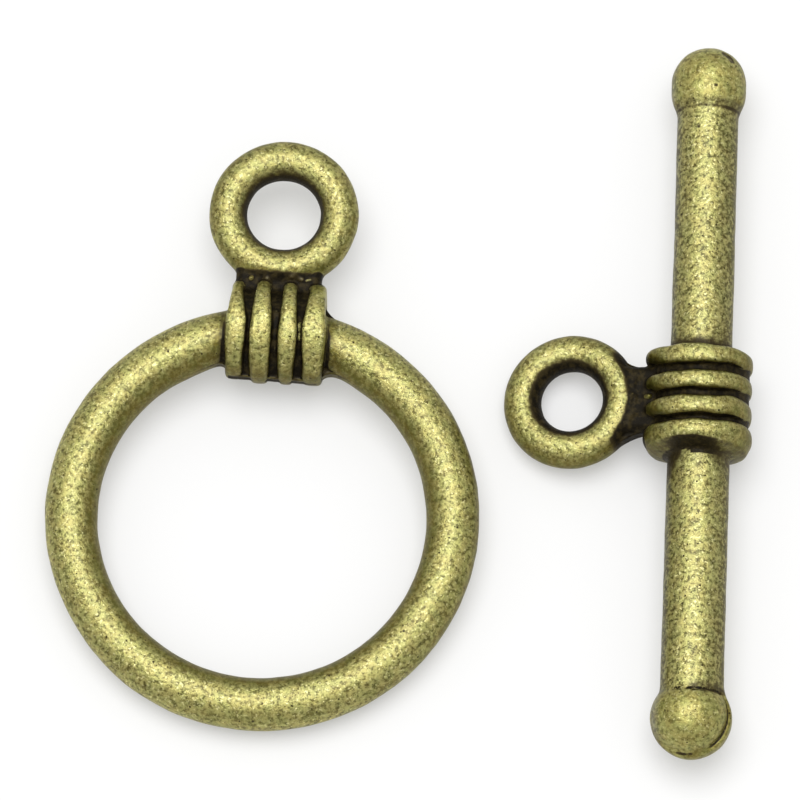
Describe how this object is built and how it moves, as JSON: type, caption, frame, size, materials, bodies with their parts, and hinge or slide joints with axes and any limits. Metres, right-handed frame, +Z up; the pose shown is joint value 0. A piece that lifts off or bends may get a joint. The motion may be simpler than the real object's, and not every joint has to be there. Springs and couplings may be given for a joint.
{
  "type": "toggle clasp",
  "caption": "Two-part toggle clasp for jewellery: a round ring with a ribbed collar and eye, and a ball-ended bar with a like collar and eye, lying side by side.",
  "frame": {"origin": "on the surface that both halves rest on, under the middle of their box", "axes": "+Z up, +Y along the bar towards its far ball, +X from the ring half to the bar half"},
  "size_m": [0.026, 0.0274, 0.004],
  "materials": {
    "antique_bronze": "rubbed antique bronze plating, satin on the crowns and brown-black in the recesses"
  },
  "bodies": {
    "root": {"toggle_ring": "antique_bronze", "toggle_bar": "antique_bronze"}
  },
  "joints": []
}
